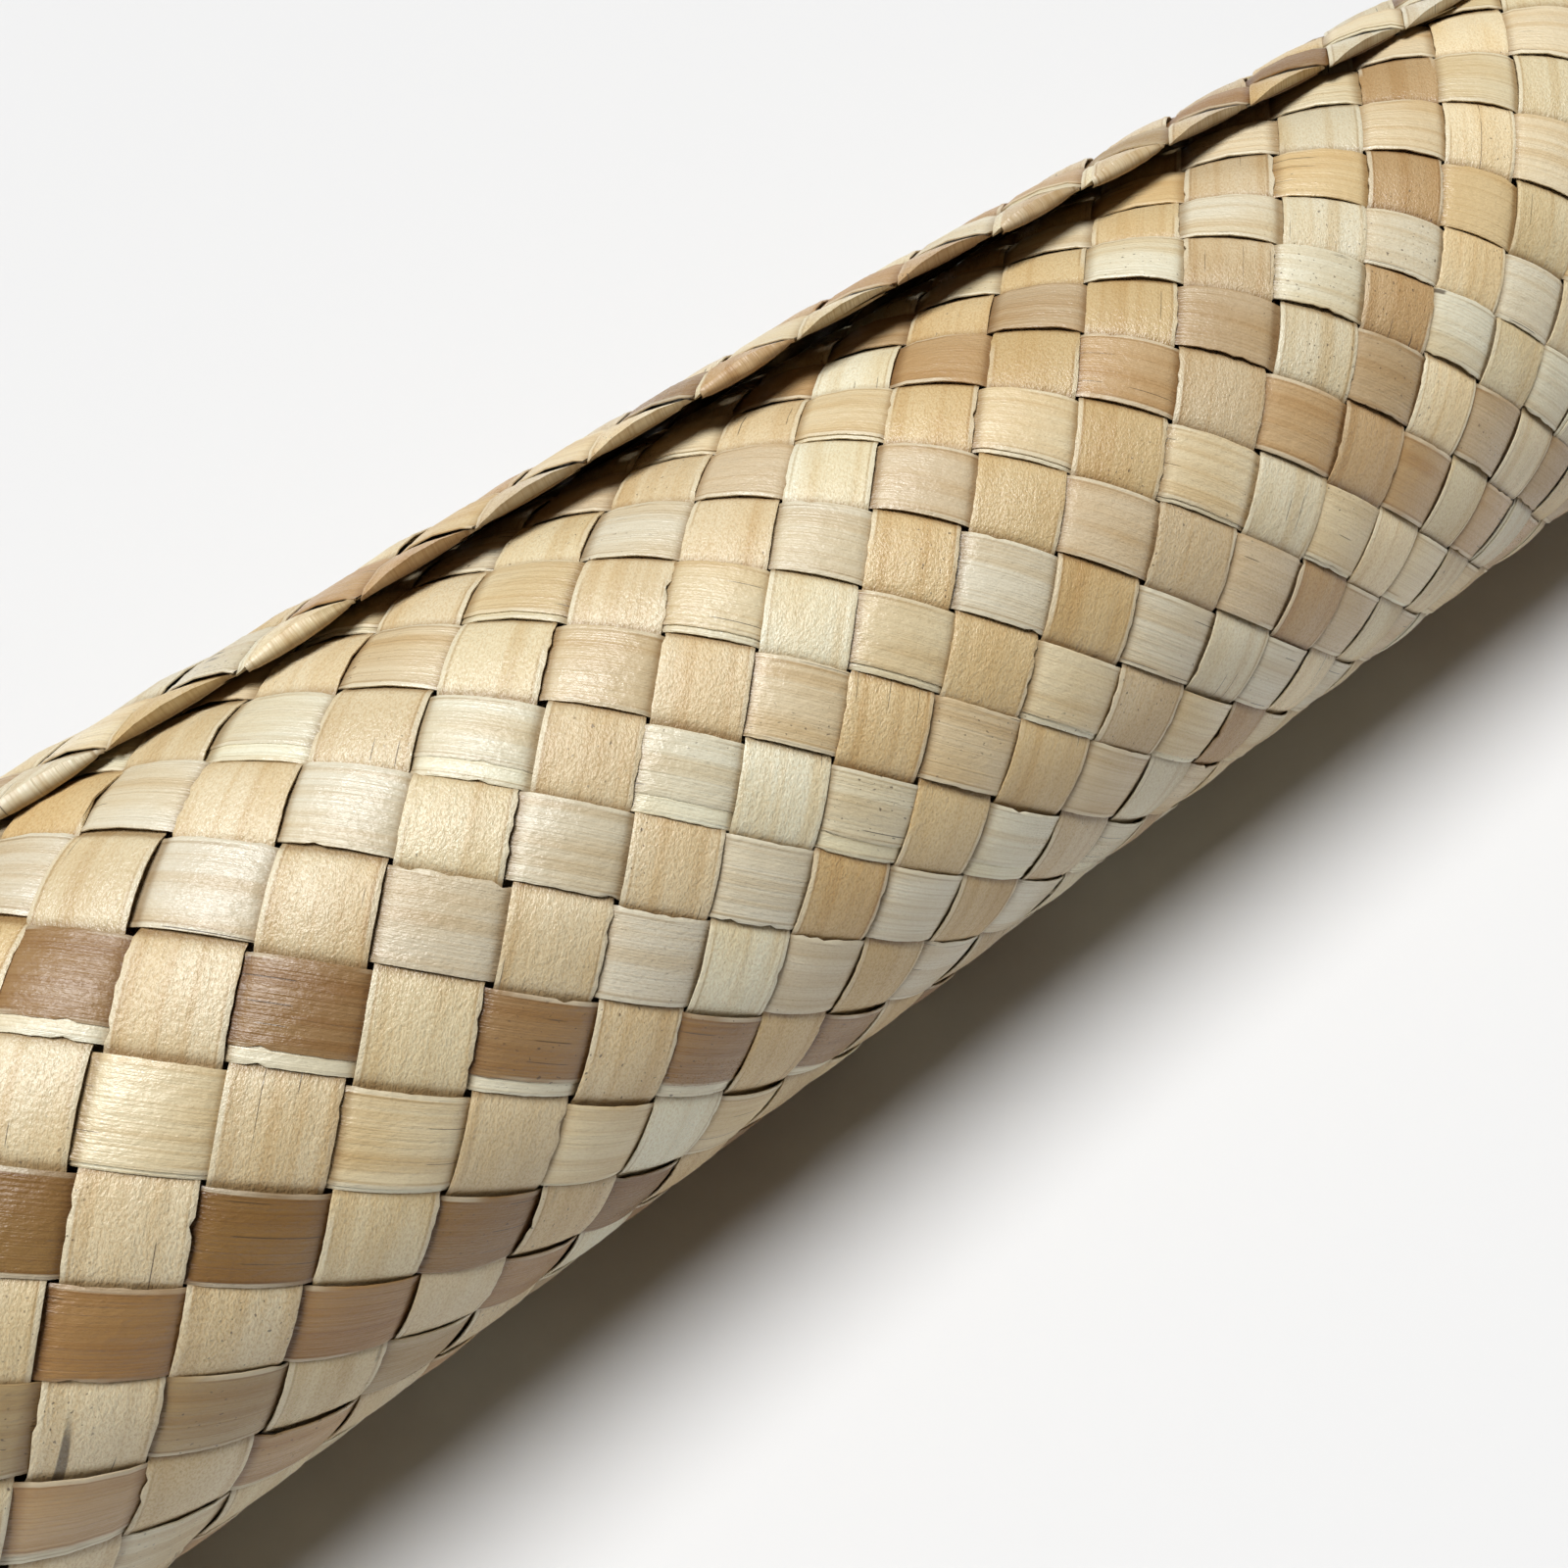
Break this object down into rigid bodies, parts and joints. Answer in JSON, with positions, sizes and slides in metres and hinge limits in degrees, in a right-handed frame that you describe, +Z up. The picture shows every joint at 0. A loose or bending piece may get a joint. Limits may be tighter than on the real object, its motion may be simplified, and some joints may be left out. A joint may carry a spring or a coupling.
{
  "type": "rolled woven mat",
  "caption": "Mat of flat pandanus leaf strips, woven on the diagonal and rolled up on its side, with its loose outer end sprung open a little; unrolled, it covers a floor or a wall.",
  "frame": {"origin": "middle of the underside, on the floor the roll lies on", "axes": "+X along the roll, +Y towards the side the loose end comes from, +Z up"},
  "size_m": [0.618, 0.1496, 0.1491],
  "materials": {
    "pandanus_leaf": "dry leaf with a satin sheen"
  },
  "bodies": {
    "root": {"mat_roll": "pandanus_leaf"}
  },
  "joints": []
}
